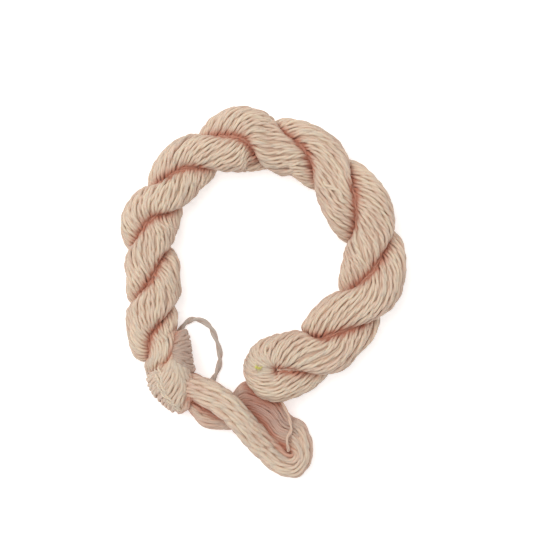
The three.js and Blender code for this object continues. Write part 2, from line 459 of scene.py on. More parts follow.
@dataclass
class Rope:
    """The twisted skein, folded back on itself into a rope of two strands.

    Attributes:
        rows: the rope's middle, the first strand's turn round it in degrees from the top, half the
            rope's width, half a strand's own width, and how far the yarns of each strand turn back
            for each turn of the rope.
        fold_turn: how far the yarns turn round their strand in the fold, in degrees, at even steps
            from the first strand to the second.
        slit: where the first strand's yarns part beside the collar: its place, its even angle, its
            reach along and round, how far the yarns move apart, and how far from the slit's middle
            they have nearly moved so far.
        stray: the line of the one yarn that lies across the others on the first strand.
        squash: the rope's height as a share of its width.
        settle: how far it is pressed on the surface.
        strand_middle: a strand's middle as a share of the rope's reach.
        overlap: how far a strand's flat side passes the rope's middle.
        flatness: how square the flat side is.
        linger: degrees by which a turn lingers where the strands lie side by side.
        fold_gap: gap at the fold's middle line.
        yarns: number of yarns round a strand.
        depth: depth of a yarn's middle below the strand's surface.
        steps: steps along a yarn for each row.
        fold_steps: steps along a yarn round the fold.
        step_length: usual length of a step.
        wobble: how far a yarn wanders round the strand, as a share of half the gap to the next.
        wobble_wave: usual length of that wandering's waves.
        proud: how far a yarn rises and sinks along its length.
        proud_wave: usual length of that rise's waves.
        uneven: how far a whole yarn lies above or below the others.
        below: how much deeper than the outer yarns the turns below lie.
        rib: height of their ridges, from the middle.
        groove_yarns: number of turns that show at the bottom of each groove between the strands.
        groove_depth: how far out they lie, as a share of a strand's half width.
        groove_helix: radius of the helix in which they cross.
        groove_twist: how far the helix turns for each row.
    """

    rows: Rows = field(default_factory=lambda: Rows("x y turn reach wide first_lay second_lay", [
        [3.6, -21.6, -270, 9.5, 7.0, 0.0, 1.7],
        [14.7, -17.3, -180, 8.8, 6.8, 0.15, 0.7],
        [19.9, -11.6, -90, 9.1, 6.9, 0.1, 0.2],
        [27.2, -3.4, 0, 9.5, 6.5, 0.85, 0.4],
        [30.8, 6.6, 90, 9.2, 6.6, 0.37, 0.38],
        [29.9, 15.6, 180, 8.7, 6.7, 0.5, 1.05],
        [25.4, 24.8, 270, 9.4, 6.8, 0.33, 0.5],
        [18.9, 33.1, 360, 7.9, 6.4, 0.6, 0.55],
        [11.2, 39.5, 450, 8.0, 6.6, 0.48, 0.44],
        [1.8, 40.95, 540, 7.9, 6.65, 0.5, 0.92],
        [-6.4, 42.6, 630, 9.4, 6.5, 0.42, 1.0],
        [-15.8, 38.9, 720, 8.0, 5.7, 1.2, 0.7],
        [-23.0, 34.1, 810, 7.7, 5.7, 0.55, 0.5],
        [-27.7, 26.4, 900, 7.5, 5.6, 0.4, 1.2],
        [-31.9, 19.8, 990, 8.2, 5.9, 0.38, 0.9],
        [-32.1, 11.9, 1080, 7.6, 5.8, 0.85, 0.7],
        [-31.1, 4.2, 1170, 7.7, 6.1, 0.3, 0.55],
        [-31.2, -3.8, 1260, 7.5, 6.1, 0.3, 0.85],
        [-31.5, -12.1, 1350, 7.0, 5.8, 0.15, 0.75],
        [-28.6, -18.0, 1440, 7.2, 4.4, 0.15, 0.7],
        [-27.7, -23.1, 1480, 5.4, 4.4, 0.15, 0.7],
    ]))
    fold_turn: Rows = field(default_factory=lambda: Rows("turn", [
        [0], [4], [10], [18], [30], [48], [80], [130], [182], [220], [240],
    ]))
    slit: tuple = (19.25, -0.3, 0.4, 0.35, 0.09, 0.06)
    stray: list = field(default_factory=lambda: [
        [7.15, -50, 1.5], [6.97, -30, 0.2], [6.83, -10, -0.45], [6.7, 16, -0.5], [6.6, 37, -0.5],
        [6.47, 59, -0.5], [6.3, 76, -0.3], [6.12, 100, 0.3], [5.98, 116, 1.5],
    ])
    squash: float = 0.8
    settle: float = 0.5
    strand_middle: float = 0.46
    overlap: float = 0.25
    flatness: float = 3.0
    linger: float = 8.0
    fold_gap: float = 0.15
    yarns: int = 25
    depth: float = 0.75
    steps: int = 20
    fold_steps: int = 34
    step_length: float = 0.53
    wobble: float = 0.7
    wobble_wave: float = 30.0
    proud: float = 0.12
    proud_wave: float = 14.0
    uneven: float = 0.14
    below: float = 0.35
    rib: float = 0.2
    groove_yarns: int = 3
    groove_depth: float = 0.54
    groove_helix: float = 0.3
    groove_twist: float = 5.0

    def even(self, angle: np.ndarray) -> np.ndarray:
        """Section angles that are evenly spaced along the outline, from evenly spaced ones.

        The outline of the rope's usual section is measured corner by corner, and its length from
        angle zero is turned back into an angle.
        """
        fine = np.linspace(0, 2 * np.pi, 721)
        out, side = self.section(fine, 8.5, 6.2, -self.overlap)
        length = np.concatenate([[0], np.cumsum(np.hypot(np.diff(out), np.diff(side)))])
        turns = np.floor(angle / (2 * np.pi))
        part = angle / (2 * np.pi) - turns
        return np.interp(part, length / length[-1], fine) + turns * 2 * np.pi

    def section(self, angle: np.ndarray, reach: np.ndarray, wide: np.ndarray, gap: float,
                inset: float = 0.0) -> tuple:
        """A point of a strand's section, out from the rope's middle and to the side.

        The outer side is half an ellipse, and the inner side a superellipse that lies flat along
        the other strand.

        Args:
            angle: angle on the section, zero straight out.
            reach: half the rope's width.
            wide: half the strand's width.
            gap: where the flat side lies, out from the rope's middle.
            inset: depth below the surface.
        Returns:
            The distances out and to the side.
        """
        off = reach * self.strand_middle
        c, s = np.cos(angle), np.sin(angle)
        square = 2 / self.flatness
        flat = off - (off - gap - inset) * np.abs(c) ** square
        flat_side = (wide - inset) * np.sign(s) * np.abs(s) ** square
        out = np.where(c >= 0, off + (reach - inset - off) * c, flat)
        return out, np.where(c >= 0, (wide - inset) * s, flat_side)

    def frame(self, places: np.ndarray) -> tuple:
        """The rope's middle line.

        Args:
            places: places along the rope, in rows.
        Returns:
            The table's columns, the middle, and the level ways along and to the right.
        """
        row = self.rows.at(places)
        near = 0.02
        before = self.rows.at(np.maximum(places - near, 0))
        after = self.rows.at(np.minimum(places + near, self.rows.last))
        level = 0 * row["x"]
        along = unit(np.stack([after["x"] - before["x"], after["y"] - before["y"], level], axis=-1))
        right = np.cross(along, UP)
        centre = np.stack([row["x"], row["y"], self.squash * row["reach"] - self.settle], axis=-1)
        return row, centre, along, right

    def on_strand(self, places: np.ndarray, angle: np.ndarray, strand: Strand,
                  inset: np.ndarray | float) -> np.ndarray:
        """Points on a strand.

        The section is turned about the rope's middle by the strand's turn, which lingers where
        the strands lie side by side, and its upright part is squashed.

        Args:
            places: places along the rope, in rows.
            angle: angle on the section.
            strand: which strand.
            inset: depth below the strand's surface.
        Returns:
            A point for each place and angle.
        """
        row, centre, _, right = self.frame(places)
        turn = self.turn(row) + strand.value[1]
        out, side = self.section(angle, row["reach"], row["wide"], -self.overlap, inset)
        return centre + self.moved(out, side, turn, right)

    def turn(self, row: dict) -> np.ndarray:
        """The first strand's turn in radians, which lingers where the strands lie side by side."""
        plain = np.radians(row["turn"])
        return plain + math.radians(self.linger) * np.sin(2 * plain)

    def moved(self, out: np.ndarray, side: np.ndarray, turn: np.ndarray, right: np.ndarray) -> np.ndarray:
        """The way from the rope's middle to a point of its turned section.

        Args:
            out: distance out, along the line through both strands.
            side: distance to the side of that line.
            turn: turn of that line from upright, in radians.
            right: the level way to the right.
        Returns:
            A vector for each point, whose upright part is squashed.
        """
        rise = out * np.cos(turn) - side * np.sin(turn)
        across = out * np.sin(turn) + side * np.cos(turn)
        return self.squash * rise[..., None] * UP + across[..., None] * right

    def on_fold(self, half_turns: np.ndarray, angle: np.ndarray,
                inset: np.ndarray | float) -> np.ndarray:
        """Points on the fold, which carries the strand's section round an upright line.

        Args:
            half_turns: half turns round the line from the first strand.
            angle: angle on the section.
            inset: depth below the surface.
        Returns:
            A point for each turn and angle.
        """
        row, centre, along, right = self.frame(np.zeros_like(half_turns))
        turned = (np.pi * half_turns)[..., None]
        way = right * np.cos(turned) - along * np.sin(turned)
        out, side = self.section(angle, row["reach"], row["wide"], self.fold_gap, inset)
        return centre + out[..., None] * way - (self.squash * side)[..., None] * UP

    def turned(self, places: np.ndarray, strand: Strand) -> np.ndarray:
        """How far a yarn has turned round its strand's section at each place along the rope.

        The strand's lay is added up over the rope's turn from the fold on.

        Args:
            places: places along the rope, in rows.
            strand: which strand.
        Returns:
            An angle for each place, in radians.
        """
        fine = np.linspace(0, self.rows.last, 2001)
        row = self.rows.at(fine)
        rate = (1 + row[strand.value[0]][:-1]) * np.diff(np.radians(row["turn"]))
        return np.interp(places, fine, np.concatenate([[0], np.cumsum(rate)]))

    def lines(self, base: np.ndarray, inset: np.ndarray | float, drift: np.ndarray | float = 0.0,
              coarse: int = 1) -> np.ndarray:
        """Lines that run with the yarns from the collar round the fold and back to the collar.

        Args:
            base: where each line starts round the first strand's section, in a column.
            inset: depth below the surface.
            drift: how far each line strays round the section at each step.
            coarse: how many of the usual steps one step takes.
        Returns:
            A point for each line and step.
        """
        strand = np.linspace(0, self.rows.last, self.steps * self.rows.last // coarse + 1)
        fold = np.linspace(0, 1, self.fold_steps // coarse + 1)[1:-1]
        n, m = len(strand), len(fold)
        drift = np.broadcast_to(drift, (len(base), 2 * n + m))
        bent = np.radians(self.fold_turn.at(fold * self.fold_turn.last)["turn"])
        whole = math.radians(self.fold_turn.values[-1][0])
        turned = self.turned(strand, Strand.SECOND)
        second = self.even(-(base + whole) - turned[::-1] - drift[:, :n])
        bend = self.even(base + bent[::-1] + drift[:, n:n + m])
        first = base - self.turned(strand, Strand.FIRST) + drift[:, n + m:]
        return np.concatenate([
            self.on_strand(strand[::-1], second, Strand.SECOND, inset),
            self.on_fold(fold[::-1], bend, inset),
            self.on_strand(strand, self.even(self.part(strand, first)), Strand.FIRST, inset),
        ], axis=1)

    def part(self, places: np.ndarray, angle: np.ndarray) -> np.ndarray:
        """Even angles moved away from the slit's line, by a bell curve along and round the strand.

        Args:
            places: places along the rope, in rows.
            angle: even angles round the strand.
        Returns:
            The angles moved.
        """
        place, at, along, around, push, rim = self.slit
        off = (angle - at + np.pi) % (2 * np.pi) - np.pi
        near = np.exp(-(((places - place) / along) ** 2) - (off / around) ** 2)
        return angle + push * near * np.tanh(off / rim)

    def yarn_lines(self, rng: np.random.Generator) -> tuple:
        """The lines of all the outer yarns.

        Args:
            rng: the random numbers.
        Returns:
            The middle line of every yarn, and the way out at each step.
        """
        base = np.arange(self.yarns)[:, None] / self.yarns * 2 * np.pi
        count = 2 * (self.steps * self.rows.last + 1) + self.fold_steps - 1
        length = np.arange(count) * self.step_length
        drift = self.wobble * np.pi / self.yarns * wander(rng, self.yarns, length, self.wobble_wave)
        proud = self.proud * wander(rng, self.yarns, length, self.proud_wave)
        proud = proud + rng.uniform(-self.uneven, self.uneven, base.shape)
        outward = unit(self.lines(base, 0.0, drift) - self.lines(base, 1.0, drift))
        return self.lines(base, self.depth, drift) + proud[..., None] * outward, outward

    def fill(self, bulk: Bulk) -> None:
        """Fills the space that the rope takes up."""
        base = np.linspace(0, 2 * np.pi, FILL_SIDES)[:, None]
        for inset in FILL_DEPTHS:
            bulk.fill(self.lines(base, inset))

    def inner_turns(self, surface: Surface, bulk: Bulk) -> None:
        """Adds the turns that lie under the outer yarns, as one tube with a ridge for each.

        It is set deeper by a cosine of the corner's number, so that a ridge lies under each gap
        between two outer yarns.

        Args:
            surface: where the tube goes.
            bulk: how full the space is.
        """
        sides = 4 * self.yarns
        base = np.arange(sides)[:, None] / sides * 2 * np.pi
        depth = self.depth + self.below + self.rib * np.cos(self.yarns * base)
        rings = self.lines(base, depth, coarse=3)
        outward = unit(rings - self.lines(base, depth + 0.5, coarse=3))
        add_inner(surface, rings, outward, bulk, First.UNDER_ROPE)

    def groove_lines(self) -> tuple:
        """Middle lines of the turns that cross at the bottom of the grooves between the strands.

        Each groove lies a share of the strand's width to the side of the rope's middle. Its turns
        go round that line in a helix.

        Returns:
            The lines and the way out at each step.
        """
        places = np.linspace(0, self.rows.last, self.steps * self.rows.last + 1)
        row, centre, _, right = self.frame(places)
        turn, made = self.turn(row), []
        for hand in (1, -1):
            for start in np.arange(self.groove_yarns) / self.groove_yarns * 2 * np.pi:
                helix = start + places * self.groove_twist
                out = self.groove_helix * np.sin(helix)
                side = hand * (self.groove_depth * row["wide"] + self.groove_helix * np.cos(helix))
                line = centre + self.moved(out, side, turn, right)
                way = -hand * np.sin(turn)[..., None] * UP + hand * np.cos(turn)[..., None] * right
                made.append((line, way))
        return np.array([line for line, _ in made]), np.array([way for _, way in made])


def add_inner(surface: Surface, lines: np.ndarray, outward: np.ndarray, bulk: Bulk, first: int,
              away: float = 2.3, lowest: float = 0.3, inward: float = 0.35) -> None:
    """Adds a ridged tube through lines that run side by side, four for each ridge.

    Args:
        surface: where the tube goes.
        lines: line, step and coordinate, the lines in right-handed order about the way they run.
        outward: the way out at each point.
        bulk: how full the space is.
        first: the number of the first ridge, which the finish tells yarns apart by.
        away: how far out from the tube the fullness is read.
        lowest: height of its lowest point above the surface.
        inward: how far it takes the painted shade of a yarn's lower side.
    """
    rings = lines.transpose(1, 0, 2).copy()
    hollow = bulk.hollow(rings, outward.transpose(1, 0, 2), away)
    rings[..., 2] = np.maximum(rings[..., 2], lowest)
    step = np.linalg.norm(np.diff(rings.mean(axis=1), axis=0), axis=-1)
    along = np.concatenate([[0], np.cumsum(step)])
    round_ = np.arange(rings.shape[1] + 1) / 4 + first
    flat = np.ones_like(hollow)
    # A painted greyer shade where the tube faces the side or the ground.
    edge = facing_shade(outward.transpose(1, 0, 2))
    shades = {"inward": inward * flat, "hollow": hollow, "rosy": 0 * flat, "edge": edge}
    add_tube(surface, rings, along, round_, shades)


EDGES = "left_x left_y right_x right_y low high"


@dataclass
class Bundle:
    """A loose bundle of yarns, told by its two edges from above and its lowest and highest points.

    Attributes:
        rows: the edges, the lowest and the highest point, and any columns of the bundle's own.
        depth: depth of a yarn's middle below the surface.
        below: how much deeper the turns below lie.
        rib: height of their ridges, from the middle.
        ridges: number of ridges on the turns inside.
    """

    rows: Rows
    depth: float = 0.8
    below: float = 0.35
    rib: float = 0.2
    ridges: int = 18

    def middle(self, places: np.ndarray) -> tuple:
        """The bundle's middle line.

        Args:
            places: places along the bundle, in rows.
        Returns:
            The middle between the edges, the way from there to the right edge, and half the height.
        """
        row = self.rows.at(places)
        level = (row["low"] + row["high"]) / 2
        left = np.stack([row["left_x"], row["left_y"], level], axis=-1)
        right = np.stack([row["right_x"], row["right_y"], level], axis=-1)
        return (left + right) / 2, (right - left) / 2, (row["high"] - row["low"]) / 2

    def on(self, places: np.ndarray, angle: np.ndarray, inset: np.ndarray | float = 0.0) -> np.ndarray:
        """Points on the bundle, whose section is an ellipse between its edges.

        Args:
            places: places along the bundle, in rows.
            angle: angle on the section from the top towards the right edge.
            inset: depth below the surface.
        Returns:
            A point for each place and angle.
        """
        middle, half, height = self.middle(places)
        width = np.linalg.norm(half, axis=-1)
        share = np.maximum(width - inset, 0.1) / width
        height = np.maximum(height - inset, 0.1)
        return middle + (np.sin(angle) * share)[..., None] * half + (height * np.cos(angle))[..., None] * UP

    def under(self, plan: np.ndarray) -> tuple:
        """The places and angles on the top that lie straight below points seen from above.

        The place is where the bundle's middle is level with the point, from the back to the
        front, and the angle is the arc sine of the point's share of the way to the edge.

        Args:
            plan: the x and y of each point.
        Returns:
            Places in rows, and angles in degrees.
        """
        fine = np.linspace(0, self.rows.last, 50 * self.rows.last + 1)
        middle, _, _ = self.middle(fine)
        places = np.interp(-plan[:, 1], -middle[:, 1], fine)
        middle, half, _ = self.middle(places)
        off = ((plan - middle[:, :2]) * half[:, :2]).sum(axis=-1)
        share = off / (half[:, :2] ** 2).sum(axis=-1)
        return places, np.degrees(np.arcsin(np.clip(share, -0.98, 0.98)))

    def fill(self, bulk: Bulk) -> None:
        """Fills the space that the bundle takes up."""
        places = np.linspace(0, self.rows.last, 14 * self.rows.last + 1)[:, None]
        angle = np.linspace(0, 2 * np.pi, FILL_SIDES)
        for inset in FILL_DEPTHS:
            bulk.fill(self.on(places, angle + 0 * places, inset))

    def inner_turns(self, surface: Surface, bulk: Bulk, first: int) -> None:
        """Adds the turns under the outer yarns, as one ridged tube.

        Args:
            surface: where the tube goes.
            bulk: how full the space is.
            first: the number of the first ridge.
        """
        places = np.linspace(0, self.rows.last, 6 * self.rows.last + 1)
        base = -np.arange(4 * self.ridges)[:, None] / (4 * self.ridges) * 2 * np.pi
        depth = self.depth + self.below + self.rib * np.cos(self.ridges * base)
        lines = self.on(places, base + 0 * places, depth)
        outward = unit(lines - self.on(places, base + 0 * places, depth + 0.5))
        add_inner(surface, lines, outward, bulk, first)


@dataclass
class Collar(Bundle):
    """The end loop that wraps the rope's end.

    Attributes:
        fan: lines of the fan below the wraps, each the x and y of four points from above.
        wraps: the same for the yarns that go over the rope's inner side, with three points.
        cross: the same for the short yarns on the outer side.
        border: the two yarns along the fan's edge, point by point.
        yarn: the kind of yarn of the fan, the wraps and the cross.
        border_yarn: the kind of yarn of the border.
        lay_depth: depth of a yarn's middle below the surface.
        border_depth: the same for the border.
        sink: how far a yarn sinks at its ends.
        past: length of its sunken end, as a share of its last step.
        brow: angle at which a yarn that goes on over the side leaves the top, in degrees.
    """

    rows: Rows = field(default_factory=lambda: Rows(EDGES, [
        [-21.4, -11.2, -25.0, -11.6, 3, 8],
        [-20.7, -12.8, -26.0, -13.2, 2, 9.5],
        [-20.3, -15.5, -26.9, -15.8, 1, 11],
        [-19.9, -18.6, -28.3, -18.9, 0, 12],
        [-19.3, -21.7, -31.6, -22.3, 0, 13],
        [-18.8, -25.3, -33.1, -24.8, 0, 13.4],
        [-18.5, -28.4, -31.5, -28.4, 0, 12.4],
        [-19.6, -31.5, -29.1, -31.2, 0, 10.4],
        [-21.6, -33.5, -26.3, -33.3, 1, 7.6],
        [-23.1, -34.2, -24.6, -34.2, 2.4, 5.4],
    ]))
    fan: Rows = field(default_factory=lambda: Rows("x0 y0 x1 y1 x2 y2 x3 y3", [
        [-25.8, -19.5, -26.5, -20.9, -27.6, -22.3, -28.6, -23.8],
        [-24.6, -19.7, -25.2, -21.7, -26.3, -23.9, -28.1, -26.5],
        [-23.9, -20.3, -23.8, -22.8, -24.8, -25.6, -27.3, -28.7],
        [-23.4, -20.6, -22.7, -23.9, -23.1, -27.0, -26.0, -30.9],
        [-22.8, -20.9, -21.6, -24.5, -21.4, -28.1, -23.9, -32.6],
        [-21.8, -21.4, -20.4, -25.1, -20.0, -28.7, -21.7, -32.9],
        [-20.7, -22.0, -19.3, -25.6, -18.9, -28.7, -19.9, -32.1],
    ]))
    wraps: Rows = field(default_factory=lambda: Rows("x0 y0 x1 y1 x2 y2", [
        [-25.2, -12.2, -23.2, -11.2, -21.9, -10.6],
        [-25.2, -13.4, -23.1, -12.6, -21.3, -12.0],
        [-24.9, -15.1, -22.7, -14.4, -20.9, -14.1],
        [-24.8, -16.1, -22.7, -15.8, -20.7, -16.0],
        [-24.6, -16.9, -22.4, -17.4, -20.5, -18.2],
        [-24.5, -17.8, -22.4, -18.8, -20.3, -20.0],
        [-24.1, -19.0, -22.2, -20.6, -20.1, -22.0],
    ]))
    cross: Rows = field(default_factory=lambda: Rows("x0 y0 x1 y1 x2 y2", [
        [-29.7, -22.2, -31.0, -22.3, -31.9, -22.8],
        [-29.7, -23.9, -31.2, -24.4, -32.3, -25.4],
        [-29.4, -25.4, -31.1, -26.5, -32.0, -27.5],
        [-28.6, -27.8, -30.0, -29.2, -30.7, -30.1],
        [-26.9, -30.3, -27.8, -31.6, -28.3, -32.1],
        [-25.2, -31.9, -25.6, -32.8, -26.0, -33.3],
    ]))
    border: list = field(default_factory=lambda: [
        [[-30.0, -20.2], [-30.0, -22.5], [-29.5, -24.5], [-29.1, -26.5], [-28.1, -28.4], [-26.7, -30.2],
         [-25.2, -31.7], [-23.8, -32.8]],
        [[-29.0, -20.6], [-28.7, -23.0], [-28.4, -25.3], [-27.7, -27.4], [-26.6, -29.3], [-25.2, -30.9],
         [-23.7, -32.1]],
    ])
    depth: float = 0.3
    ridges: int = 24
    yarn: Yarn = Yarn(ply=0.5, apart=0.27, half_pitch=4.2, squeeze=1.0)
    border_yarn: Yarn = Yarn(ply=0.38, apart=0.3, half_pitch=3.2)
    lay_depth: float = 0.6
    border_depth: float = 0.25
    sink: tuple = (1.3, 1.4)
    past: float = 0.4
    brow: float = 100.0

    def laid(self, plan: np.ndarray, lift: float, over: float = 0.0) -> list:
        """Controls of a yarn that is laid through points seen from above and sinks at its ends.

        Args:
            plan: the x and y of each point.
            lift: how far it lies above the others.
            over: degrees by which it goes on over the bundle's side, in place of sinking there.
        Returns:
            Its table of place, angle and sink.
        """
        places, angles = self.under(plan)
        body = [[place, angle, -lift] for place, angle in zip(places, angles)]
        start = [[2 * places[0] - places[1], 2 * angles[0] - angles[1], self.sink[0]]]
        brow = math.copysign(self.brow, over)
        if over:
            return start + body + [[places[-1], brow, 0.0], [places[-1], brow + over, 0.0]]
        place = places[-1] + self.past * (places[-1] - places[-2])
        angle = angles[-1] + self.past * (angles[-1] - angles[-2])
        return start + body + [[place, angle, self.sink[1]]]

    def curves(self, rng: np.random.Generator) -> list:
        """The controls of the yarns of the wraps, the cross and the fan.

        Args:
            rng: the random numbers.
        Returns:
            For each of the three kinds its tables of controls, the number of its first yarn, and
            how far it takes the painted greyer shade of turns that face the side.
        """
        kinds = []
        # The last number of each kind is its painted side shade: most on the wraps, which face the side.
        for table, count, over, number, side_shade in (
                (self.wraps, 13, -80, First.WRAPS, 0.8),
                (self.cross, 12, 80, First.CROSS, 0.35),
                (self.fan, 13, 0, First.FAN, 0.15)):
            gap, made = table.last / (count - 1), []
            for place in np.linspace(0, table.last, count):
                place = np.clip(place + rng.uniform(-0.3, 0.3) * gap, 0, table.last)
                values = np.array(list(table.at(np.array(place)).values())).reshape(-1, 2)
                made.append(self.laid(values, rng.uniform(-0.1, 0.2), over))
            kinds.append((made, number, side_shade))
        return kinds


@dataclass
class Tail(Bundle):
    """The rest of the end loop, laid down, turned and laid back under itself.

    Attributes:
        yarns: number of yarns round the bundle.
        fine_yarns: number of finer yarns on the leg that comes back.
        thin: the line of the one thin yarn that lies over that leg, as points.
        yarn: the kind of the thick yarns.
        fine_yarn: the kind of the finer yarns.
        thin_yarn: the kind of the thin yarn.
        fine_depth: depth of a finer yarn's middle below the surface.
        fine_arc: angles between which the finer yarns lie, in degrees from the top.
        fine_rows: where they start, are up, are still up and end, in rows.
        fine_sink: how far they sink at those places.
    """

    # The last column is how far the yarns take a pinkish painted shade, where the leg that comes back lies
    # low in shade.
    rows: Rows = field(default_factory=lambda: Rows(EDGES + " size rosy", [
        [-20.7, -22.3, -23.5, -28.7, 3, 12, 1.0, 0.2],
        [-17.1, -23.5, -19.3, -30.9, 4, 13, 1.0, 0.1],
        [-12.6, -25.5, -15.1, -33.2, 6, 13.5, 1.05, 0.0],
        [-8.4, -28.4, -11.2, -36.0, 6.8, 13.6, 1.1, 0.0],
        [-4.8, -32.3, -7.6, -39.9, 6.2, 13.2, 1.1, 0.0],
        [-1.4, -36.3, -4.5, -43.8, 3.6, 11.6, 1.1, 0.0],
        [2.0, -39.8, -1.1, -47.3, 0.6, 9.8, 1.1, 0.0],
        [4.8, -42.4, 2.2, -50.4, 0, 8.8, 1.05, 0.0],
        [6.3, -43.7, 5.9, -52.2, 0, 8.4, 1.0, 0.0],
        [7.3, -44.2, 9.5, -52.4, 0, 8.2, 0.95, 0.05],
        [7.4, -44.3, 12.6, -49.6, 0, 8.2, 0.95, 0.1],
        [6.4, -44.4, 13.9, -45.2, 0, 8.2, 0.95, 0.1],
        [5.3, -44.4, 13.4, -40.9, 0, 8.0, 0.95, 0.15],
        [3.4, -43.8, 11.3, -36.7, 0, 7.6, 0.95, 0.3],
        [1.1, -42.4, 7.3, -34.7, 0, 7.0, 0.95, 0.55],
        [-1.1, -40.2, 3.9, -29.5, 0, 6.4, 0.95, 0.7],
        [-3.9, -38.5, -3.0, -26.0, 0, 6, 0.9, 0.7],
        [-7.3, -38.8, -6.5, -26.0, 0, 6.4, 0.9, 0.5],
        [-11.8, -39.1, -11.2, -32.4, 0, 7.2, 0.85, 0.3],
        [-16.2, -38.8, -16.0, -30.9, 0, 8, 0.85, 0.3],
        [-19.6, -35.7, -18.8, -29.3, 0, 8.4, 0.85, 0.3],
        [-21.8, -32.3, -21.0, -27.6, 1, 8, 0.85, 0.3],
    ]))
    depth: float = 0.85
    below: float = 0.12
    rib: float = 0.1
    ridges: int = 18
    yarns: int = 18
    fine_yarns: int = 25
    yarn: Yarn = Yarn(ply=0.6, apart=0.32, half_pitch=5.0)
    fine_yarn: Yarn = Yarn(ply=0.42, apart=0.1, half_pitch=4.0)
    thin_yarn: Yarn = Yarn(ply=0.38, apart=0.2, half_pitch=4.0)
    fine_depth: float = 0.5
    fine_arc: tuple = (-78, 82)
    fine_rows: tuple = (12.0, 13.2, 17.8, 18.6)
    fine_sink: tuple = (1.6, -0.15, -0.15, 1.2)
    thin: Rows = field(default_factory=lambda: Rows("x y z", [
        [3.6, -28.6, 5.6], [4.9, -31.0, 6.4], [6.4, -33.7, 7.3], [7.2, -36.1, 7.8], [7.6, -38.0, 8.0],
        [7.3, -39.4, 8.2], [6.6, -40.6, 8.3], [6.4, -42.2, 8.4], [6.7, -43.5, 8.0], [6.9, -44.6, 7.2],
    ]))

    def curves(self, rng: np.random.Generator) -> list:
        """The controls of the yarns, side by side from the collar round the turn and back.

        Args:
            rng: the random numbers.
        Returns:
            A table of controls for each yarn.
        """
        made = []
        places = np.linspace(0, self.rows.last, 24)
        for i in range(self.yarns):
            base = 360 * (i + 0.5) / self.yarns
            drift = 9 * wander(rng, 1, places, 8.0)[0]
            proud = 0.08 * wander(rng, 1, places, 4.0)[0]
            made.append([list(control) for control in zip(places, base + drift, proud)])
        return made

    def fine_curves(self, rng: np.random.Generator) -> list:
        """The controls of the finer yarns on top of the leg that comes back.

        Args:
            rng: the random numbers.
        Returns:
            A table of controls for each yarn.
        """
        made = []
        places = np.linspace(self.fine_rows[0], self.fine_rows[-1], 9)
        low, high = self.fine_arc
        for i in range(self.fine_yarns):
            base = low + (high - low) * i / (self.fine_yarns - 1)
            drift = 3.5 * wander(rng, 1, places, 5.0)[0]
            sink = np.interp(places, self.fine_rows, self.fine_sink)
            made.append([list(control) for control in zip(places, base + drift, sink)])
        return made


@dataclass
class LooseLoop:
    """One slack turn of yarn, which lies on the surface between the collar and the tail.

    Attributes:
        route: the middle line of the yarn.
        diameter: the yarn's thickness, not used.
        yarn: the kind of yarn.
    """

    route: Rows = field(default_factory=lambda: Rows("x y z", [
        [-24.4, -12.2, 1.1],
        [-23.8, -11.1, 1.0],
        [-23.0, -10.0, 1.0],
        [-22.0, -8.9, 1.0],
        [-20.0, -7.9, 1.0],
        [-17.3, -8.5, 1.0],
        [-15.2, -10.2, 1.0],
        [-14.0, -12.6, 1.0],
        [-13.0, -15.3, 1.0],
        [-12.5, -18.1, 1.0],
        [-12.7, -20.8, 1.0],
        [-13.5, -23.2, 1.0],
        [-14.5, -25.1, 1.0],
        [-15.1, -26.8, 1.0],
        [-15.4, -28.5, 1.0],
        [-15.6, -30.2, 1.1],
        [-15.7, -31.0, 1.2],
    ]))
    diameter: float = 1.8
    yarn: Yarn = Yarn(ply=0.51, apart=0.36, half_pitch=4.6, squeeze=1.0)

    def build(self, rng: np.random.Generator) -> bpy.types.Object:
        """The yarn along its route.

        Args:
            rng: the random numbers.
        Returns:
            The finished piece.
        """
        line = self.route.line()
        surface = Surface("loose_loop_yarn")
        outward = np.broadcast_to(UP, line.shape)
        hollow = np.zeros((1, len(line)))
        self.yarn.lay(surface, line[None], outward[None], hollow, rng, First.LOOSE_LOOP)
        piece = surface.piece()
        return piece


@dataclass(frozen=True)
class Fibres:
    """Loose fibre ends that stand out of the yarns.

    Attributes:
        count: number of fibres.
        length: usual length in millimetres.
        thick: radius at the root in millimetres.
        rings: rings along a fibre.
        spread: how far a fibre leans off the way out.
    """

    count: int
    length: float
    thick: float
    rings: int = 5
    spread: float = 0.9

    def grow(self, surface: Surface, roots: np.ndarray, outward: np.ndarray,
             rng: np.random.Generator) -> None:
        """Adds the fibres, each from a root picked at random.

        A fibre starts along a leaning way and bends off by the square of the share of its length.

        Args:
            surface: where they go.
            roots: points that fibres may start from.
            outward: the way out at each point.
            rng: the random numbers.
        """
        pick = rng.integers(len(roots), size=self.count)
        way = unit(outward[pick] + self.spread * rng.normal(size=(self.count, 3)))
        bend = 0.5 * rng.normal(size=(self.count, 3))
        length = self.length * rng.uniform(0.4, 1.6, (self.count, 1, 1))
        share = np.linspace(0, 1, self.rings)[:, None]
        path = roots[pick][:, None] + length * (share * way[:, None] + share**2 * bend[:, None])
        path[..., 2] = np.maximum(path[..., 2], 0.1)
        tangent = unit(np.gradient(path, axis=1))
        side = unit(np.cross(tangent, outward[pick][:, None] + 0.01))
        above = np.cross(side, tangent)
        angle = np.arange(3)[:, None] / 3 * 2 * np.pi
        radius = (self.thick * (1 - 0.75 * share))[:, None]
        ring = np.cos(angle) * side[:, :, None] - np.sin(angle) * above[:, :, None]
        points = path[:, :, None] + radius * ring
        tube = grid_faces(self.rings, 3)
        last = 3 * (self.rings - 1)
        ends = np.array([[2, 1, 0], [last, last + 1, last + 2]])
        first = (np.arange(self.count) * 3 * self.rings)[:, None, None]
        faces = [(array[None] + first).reshape(-1, array.shape[1]) for array in (tube, ends)]
        maps = [np.full((*array.shape, 2), First.FIBRES + 0.5) for array in faces]
        none = np.zeros(self.count * self.rings * 3)
        surface.add(points.reshape(-1, 3), faces, maps,
                    {"inward": none, "hollow": none, "rosy": none, "edge": none})


